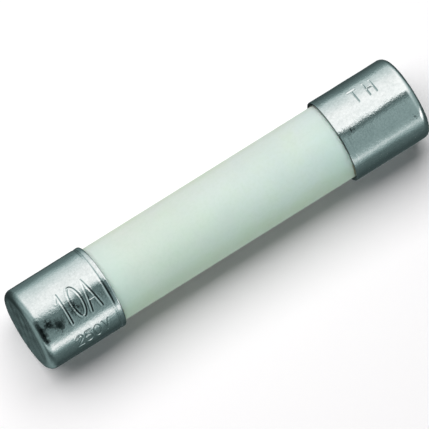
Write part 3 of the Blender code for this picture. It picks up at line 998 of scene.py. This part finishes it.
def stroke_distance(x, y, strokes):
    """How far each point of a grid is from the nearest straight piece."""
    nearest = np.full(np.broadcast(x, y).shape, np.inf)
    for x0, y0, x1, y1 in strokes:
        dx, dy = x1 - x0, y1 - y0
        share = np.clip(((x - x0) * dx + (y - y0) * dy) / (dx * dx + dy * dy), 0, 1)
        nearest = np.minimum(nearest, np.hypot(x - x0 - share * dx, y - y0 - share * dy))
    return nearest


def spread(spans):
    """Values from the first edge to the last, each span (edge, next edge, step) cut into steps near that."""
    parts = [np.linspace(a, b, max(2, round(abs(b - a) / step) + 1))[:-1] for a, b, step in spans]
    return np.concatenate(parts + [[spans[-1][1]]])


def cap_outline(side):
    """The right-hand cap's outline as rows (x, r), from the middle of its end over the outside to the middle
    of its floor. The waist is a smooth dip in the barrel."""
    lip = LIP_ROUND[side]
    centre = (END_FACE - CORNER_RADIUS, CAP_RADIUS - CORNER_RADIUS)
    face = np.linspace(0, centre[1], 26)[:-1]
    dished = END_FACE - END_DISH * (1 - (face / centre[1]) ** 4)
    fine_end = rim + FINE_LENGTH
    barrel = spread([(centre[0], fine_end, COARSE_STEP), (fine_end, rim + lip, FINE_STEP)])
    waist = CAP_RADIUS - WAIST_DEPTH[side] * np.exp(-(((barrel - rim - LIP_LENGTH) / WAIST_WIDTH) ** 2))
    inside = np.linspace(centre[1], 0, 14)
    return np.concatenate(
        [
            np.stack([dished, face], axis=-1),
            arc(centre, CORNER_RADIUS, 0, 90, 24)[:-1],
            np.stack([barrel, waist], axis=-1)[:-1],
            arc((rim + lip, CAP_RADIUS - lip), lip, 90, 180, 9),
            [(rim, CAP_RADIUS - CAP_WALL)],
            arc(centre, CORNER_RADIUS - CAP_WALL, 90, 0, 9),
            np.stack([inside * 0 + END_FACE - CAP_WALL, inside], axis=-1)[1:],
        ]
    )


def end_cap(side, strokes, fine_from, fine_to):
    """The cap on one side, with its marks struck in. The mesh is finest between two angles round it, in
    degrees, where the marks are. A mark is a dip that falls off with the square of the distance from its
    stroke, with a low burr on either side."""
    outline = cap_outline(side)
    first, last = math.radians(fine_from), math.radians(fine_to)
    coarse, fine = COARSE_STEP / CAP_RADIUS, FINE_STEP / CAP_RADIUS
    angle = spread([(first, last, fine), (last, first + 2 * math.pi, coarse)])[:-1]
    along = side * outline[:, :1] + 0 * angle
    radius = outline[:, 1:] + 0 * angle
    outer = np.arange(len(outline))[:, None] < np.argmax(np.isclose(outline[:, 0], rim))
    barrel = outer & (np.abs(along) < END_FACE - CORNER_RADIUS)
    signed = (angle + math.pi) % (2 * math.pi) - math.pi
    away = stroke_distance(along, CAP_RADIUS * signed + 0 * along, strokes)
    force = 0.75 + 0.35 * ripples(along, angle, seed=40 + side, most_waves=8, shortest=3 * MM)
    force = np.clip(force, 0.65, 1.2)
    dent = -PUNCH_DEPTH[side] * np.exp(-((away / PUNCH_WIDTH) ** 2))
    burr = BURR_HEIGHT * np.exp(-(((away - 1.9 * PUNCH_WIDTH) / PUNCH_WIDTH) ** 2))
    uneven = ripples(along, angle, seed=30 + side, most_waves=12, shortest=2.2 * MM, count=40)
    uneven = DENT_DEPTH * uneven * (radius / CAP_RADIUS) ** 2
    radius = radius + np.where(barrel, force * (dent + burr), 0) + np.where(outer, uneven, 0)
    y, z = radius * np.sin(angle), radius * np.cos(angle)
    across = ripples(y, 0 * y, seed=50 + side, most_waves=0, shortest=0.9 * MM, count=20)
    upwards = ripples(z, 0 * z, seed=60 + side, most_waves=0, shortest=1.6 * MM, count=20)
    on_face = np.clip((CAP_RADIUS - CORNER_RADIUS / 2 - radius) / CORNER_RADIUS, 0, 1)
    on_face = on_face * (np.abs(along) > END_FACE - 2 * END_DISH) * outer
    along = along + side * FACE_DENT_DEPTH * on_face * (across * upwards - 1.5)
    if side == RIGHT:
        along, radius = along[::-1], radius[::-1]
    mesh = round_mesh(SIDE_NAMES[side] + "_cap", along, radius, angle)
    mesh.set_sharp_from_angle(angle=math.radians(50))
    return mesh


def stain_group():
    """Dark mottles that thin out with distance from a centre: noise plus a falloff, cut to a soft edge."""
    numbers = {"Centre X": 0.0, "Centre Y": 0.0, "Centre Z": 0.0, "Size": 0.001, "Amount": 0.5}
    group, given, result = new_group("stain", numbers, ["Mask"])
    centre = group.nodes.new("ShaderNodeCombineXYZ")
    for letter in "XYZ":
        group.links.new(given.outputs["Centre " + letter], centre.inputs[letter])
    apart = group.nodes.new("ShaderNodeVectorMath")
    apart.operation = "DISTANCE"
    group.links.new(where(group), apart.inputs[0])
    group.links.new(centre.outputs["Vector"], apart.inputs[1])
    share = reckon(group, "DIVIDE", apart.outputs["Value"], given.outputs["Size"])
    near = ranged(group, share, 0.1, 1.0, 1.0, 0.0)
    mottle = put(group, "ShaderNodeTexNoise", Scale=4200, Detail=5, Roughness=0.65)
    group.links.new(where(group), mottle.inputs["Vector"])
    total = reckon(group, "MULTIPLY_ADD", near, given.outputs["Amount"], mottle.outputs["Fac"])
    soft = ranged(group, total, 0.76, 0.92)
    group.links.new(reckon(group, "MULTIPLY", soft, near), result.inputs["Mask"])
    return group


# Dark spots where the plate has tarnished, as centre and size in millimetres, and amount.
STAINS = {
    LEFT: [
        ((-14.1, -1.4, 2.85), 1.05, 0.5),
        ((-14.75, -0.95, 3.03), 0.85, 0.44),
        ((-15.3, -1.0, 2.9), 0.4, 0.62),
        ((-15.3, -1.4, 2.72), 0.42, 0.68),
        ((-15.3, -1.8, 2.45), 0.4, 0.62),
        ((-12.6, -0.85, 3.06), 1.5, 0.34),
    ],
    RIGHT: [((10.6, -0.7, 3.1), 1.2, 0.3), ((14.9, -2.0, 2.3), 1.0, 0.3)],
}
stain = stain_group()


def nickel_plate(side):
    """Bright nickel: a cool grey metal, a little cloudy, with a fine pebbled grain and tarnished spots. It is
    worn duller on the flat end, and painted nearly black at the mouth as shade where the cap meets the tube."""
    material, shader = new_material(SIDE_NAMES[side] + "_nickel_plate", metallic=1.0)
    tree = material.node_tree
    texture = use_group(tree, grain, Grain_Size=6500, Cloud_Size=1100)
    fine = use_group(tree, grain, Cloud_Size=5200)
    broad = use_group(tree, grain, Cloud_Size=520)
    cloudy = colour_mix(tree, texture.outputs["Clouds"], NICKEL_CLOUDY, NICKEL_PALE)
    dimmer = colour_mix(tree, texture.outputs["Clouds"], NICKEL_DEEP, NICKEL_DIM)
    colour = colour_mix(tree, fine.outputs["Clouds"], dimmer, cloudy)
    for place, size, amount in STAINS[side]:
        x, y, z = (MM * number for number in place)
        spot = use_group(tree, stain, Centre_X=x, Centre_Y=y, Centre_Z=z, Size=size * MM, Amount=amount)
        colour = colour_mix(tree, spot.outputs["Mask"], colour, TARNISH)
    from_middle = off_middle(tree, "X")
    worn = colour_mix(tree, broad.outputs["Clouds"], WORN_NICKEL, colour)
    on_face = ranged(tree, from_middle, END_FACE - WORN_FROM, END_FACE - WORN_TO)
    colour = colour_mix(tree, on_face, colour, worn)
    # Painted shade at the mouth, where the cap meets the tube.
    mouth_shade = ranged(tree, from_middle, rim + MOUTH_SHADE_FROM, rim + MOUTH_SHADE_TO, 1.0, 0.0)
    colour = colour_mix(tree, mouth_shade, colour, MOUTH_SHADE)
    rough = ranged(tree, texture.outputs["Clouds"], 0, 1, *NICKEL_ROUGHNESS)
    dress(tree, shader, colour, rough, texture.outputs["Grain"], NICKEL_GRAIN)
    return material


facing = CAP_RADIUS * camera_angle
rating = {"start": -13.7 * MM, "base": facing - 1.15 * MM, "height": 2.3 * MM, "width": 0.84 * MM}
voltage = {"start": -13.5 * MM, "base": facing - 3.3 * MM, "height": 1.0 * MM, "width": 0.5 * MM}
kind = {"start": 11.9 * MM, "base": facing + 1.45 * MM, "height": 1.1 * MM, "width": 0.55 * MM}
left_marks = np.concatenate(
    [struck("10A", advance=1.05 * MM, **rating), struck("250V", advance=0.72 * MM, **voltage)]
)
right_marks = struck("T H", advance=0.6 * MM, **kind)
left_cap = add_object("left_cap", end_cap(LEFT, left_marks, -95, 25), nickel_plate(LEFT))
right_cap = add_object("right_cap", end_cap(RIGHT, right_marks, 0, 55), nickel_plate(RIGHT))
for cap, side in ((left_cap, LEFT), (right_cap, RIGHT)):
    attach(cap, "root")
    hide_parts(SIDE_NAMES[side] + "_end_cap")
